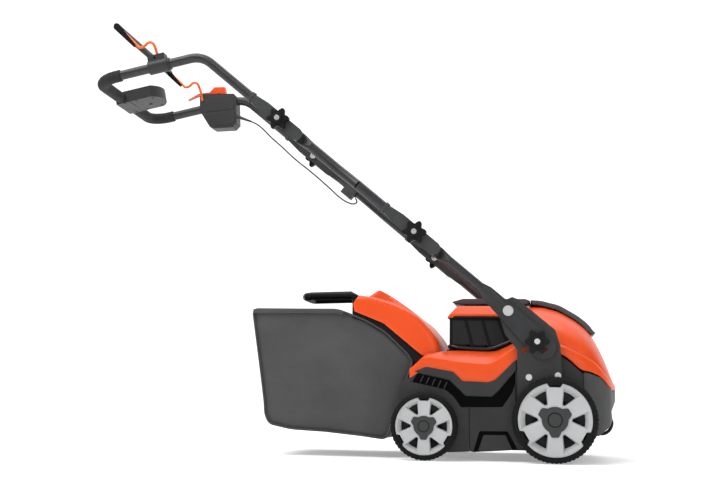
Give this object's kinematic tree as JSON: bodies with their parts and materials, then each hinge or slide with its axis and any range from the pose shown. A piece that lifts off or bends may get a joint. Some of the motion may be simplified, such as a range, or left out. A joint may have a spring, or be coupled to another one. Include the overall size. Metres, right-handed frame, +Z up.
{
  "type": "push lawn mower",
  "caption": "Battery push lawn mower with a moulded deck, four wheels, a folding tubular handle with bail and start lever, a lidded battery bay, a rear flap and a grass bag.",
  "frame": {"origin": "on the ground, under the middle of the whole mower's box at rest", "axes": "+X forwards in the direction of travel, +Y to the operator's left, +Z up"},
  "size_m": [1.4203, 0.6016, 1.18],
  "materials": {
    "deck": "matte",
    "orange_cover": "satin",
    "dark_cover": "matte",
    "black_cover": "matte",
    "bumper": "matte",
    "bracket": "matte",
    "zinc": "satin",
    "motor_can": "satin",
    "steel": "satin",
    "blade_steel": "satin",
    "spring_steel": "satin",
    "tyre": "matte",
    "rim": "satin",
    "hub_cap": "satin",
    "tube": "satin",
    "sleeve": "matte",
    "foam": "matte",
    "knob": "satin",
    "cable": "matte",
    "bail_metal": "satin",
    "lever": "satin",
    "bag": "matte",
    "bag_plastic": "matte"
  },
  "bodies": {
    "chassis": {"deck_shell": "deck", "side_cowl": "orange_cover", "front_hood": "orange_cover", "top_cap": "orange_cover", "vent_housing": "black_cover", "hood_strip": "dark_cover", "front_bumper": "bumper", "side_brackets": "bracket", "bracket_screws": "zinc", "discharge_chute": "black_cover", "motor_housing": "motor_can", "battery_bay": "black_cover", "battery_pack": "dark_cover", "hinge_pins": "zinc", "flap_spring": "spring_steel", "wheel_axles": "zinc"},
    "blade_rotor": {"motor_shaft": "steel", "blade_adapter": "motor_can", "blade": "blade_steel", "blade_bolt": "zinc"},
    "front_right_wheel": {"front_right_tyre": "tyre", "front_right_rim": "rim", "front_right_cap": "hub_cap"},
    "front_left_wheel": {"front_left_tyre": "tyre", "front_left_rim": "rim", "front_left_cap": "hub_cap"},
    "rear_right_wheel": {"rear_right_tyre": "tyre", "rear_right_rim": "rim", "rear_right_cap": "hub_cap"},
    "rear_left_wheel": {"rear_left_tyre": "tyre", "rear_left_rim": "rim", "rear_left_cap": "hub_cap"},
    "battery_cover": {"battery_lid": "dark_cover"},
    "discharge_flap": {"rear_flap": "orange_cover"},
    "lower_handle": {"lower_arms": "tube", "lower_bolts": "zinc"},
    "middle_handle": {"middle_tubes": "tube", "middle_sleeves": "sleeve", "middle_bolts": "zinc", "cable_clamp": "sleeve", "clipped_cable": "cable"},
    "upper_handle": {"handle_loop": "tube", "upper_sleeves": "sleeve", "foam_grips": "foam", "control_box": "dark_cover", "bail_bracket": "dark_cover", "switch_box": "dark_cover", "strain_relief": "cable", "signal_cable": "cable"},
    "bail": {"bail_wire": "bail_metal", "bail_grip": "black_cover"},
    "start_lever": {"start_lever": "lever"},
    "right_upper_knob": {"right_upper_knob": "knob"},
    "left_upper_knob": {"left_upper_knob": "knob"},
    "right_middle_knob": {"right_middle_knob": "knob"},
    "left_middle_knob": {"left_middle_knob": "knob"},
    "right_bracket_knob": {"right_bracket_knob": "knob"},
    "left_bracket_knob": {"left_bracket_knob": "knob"},
    "grass_bag": {"bag_fabric": "bag", "bag_frame": "bag_plastic"}
  },
  "joints": [
    {"name": "front_right_wheel_spin", "type": "hinge", "parent": "chassis", "child": "front_right_wheel", "pos_m": [0.551, -0.281, 0.105], "axis": [0, 1, 0], "continuous": true},
    {"name": "front_left_wheel_spin", "type": "hinge", "parent": "chassis", "child": "front_left_wheel", "pos_m": [0.551, 0.281, 0.105], "axis": [0, 1, 0], "continuous": true},
    {"name": "rear_right_wheel_spin", "type": "hinge", "parent": "chassis", "child": "rear_right_wheel", "pos_m": [0.231, -0.281, 0.084], "axis": [0, 1, 0], "continuous": true},
    {"name": "rear_left_wheel_spin", "type": "hinge", "parent": "chassis", "child": "rear_left_wheel", "pos_m": [0.231, 0.281, 0.084], "axis": [0, 1, 0], "continuous": true},
    {"name": "blade_spin", "type": "hinge", "parent": "chassis", "child": "blade_rotor", "pos_m": [0.441, 0, 0.05], "axis": [0, 0, 1], "continuous": true},
    {"name": "battery_cover_hinge", "type": "hinge", "parent": "chassis", "child": "battery_cover", "pos_m": [0.485, 0, 0.411], "axis": [0, 1, 0], "range_deg": [0, 75]},
    {"name": "discharge_flap_hinge", "type": "hinge", "parent": "chassis", "child": "discharge_flap", "pos_m": [0.251, 0, 0.252], "axis": [0, 1, 0], "range_deg": [0, 28], "stiffness_Nm_per_rad": 2, "springref_deg": -28.65},
    {"name": "handle_pitch", "type": "hinge", "parent": "chassis", "child": "lower_handle", "pos_m": [0.43718, 0, 0.37266], "axis": [0, 1, 0], "range_deg": [0, 22]},
    {"name": "lower_fold", "type": "hinge", "parent": "lower_handle", "child": "middle_handle", "pos_m": [0.202, 0, 0.57], "axis": [0, 1, 0], "range_deg": [0, 130]},
    {"name": "upper_fold", "type": "hinge", "parent": "middle_handle", "child": "upper_handle", "pos_m": [-0.1703, 0, 0.88239], "axis": [0, -1, 0], "range_deg": [-150, 0]},
    {"name": "bail_squeeze", "type": "hinge", "parent": "upper_handle", "child": "bail", "pos_m": [-0.526, 0, 1.066], "axis": [0, -1, 0], "range_deg": [0, 48], "stiffness_Nm_per_rad": 1, "springref_deg": -45.84},
    {"name": "start_lever_press", "type": "hinge", "parent": "upper_handle", "child": "start_lever", "pos_m": [-0.479, 0.231, 1.09], "axis": [0, -1, 0], "range_deg": [0, 8], "stiffness_Nm_per_rad": 0.5, "springref_deg": -11.46},
    {"name": "right_upper_knob_turn", "type": "hinge", "parent": "middle_handle", "child": "right_upper_knob", "pos_m": [-0.1703, -0.254, 0.88239], "axis": [0, 1, 0], "range_deg": [0, 360]},
    {"name": "left_upper_knob_turn", "type": "hinge", "parent": "middle_handle", "child": "left_upper_knob", "pos_m": [-0.1703, 0.254, 0.88239], "axis": [0, 1, 0], "range_deg": [0, 360]},
    {"name": "right_middle_knob_turn", "type": "hinge", "parent": "lower_handle", "child": "right_middle_knob", "pos_m": [0.202, -0.288, 0.57], "axis": [0, 1, 0], "range_deg": [0, 360]},
    {"name": "left_middle_knob_turn", "type": "hinge", "parent": "lower_handle", "child": "left_middle_knob", "pos_m": [0.202, 0.288, 0.57], "axis": [0, 1, 0], "range_deg": [0, 360]},
    {"name": "right_bracket_knob_turn", "type": "hinge", "parent": "lower_handle", "child": "right_bracket_knob", "pos_m": [0.50906, -0.274, 0.29558], "axis": [0, 1, 0], "range_deg": [0, 360]},
    {"name": "left_bracket_knob_turn", "type": "hinge", "parent": "lower_handle", "child": "left_bracket_knob", "pos_m": [0.50906, 0.274, 0.29558], "axis": [0, 1, 0], "range_deg": [0, 360]},
    {"name": "bag_lift_off", "type": "slide", "parent": "chassis", "child": "grass_bag", "axis": [-1, 0, 0], "range_m": [0, 0.15]}
  ]
}
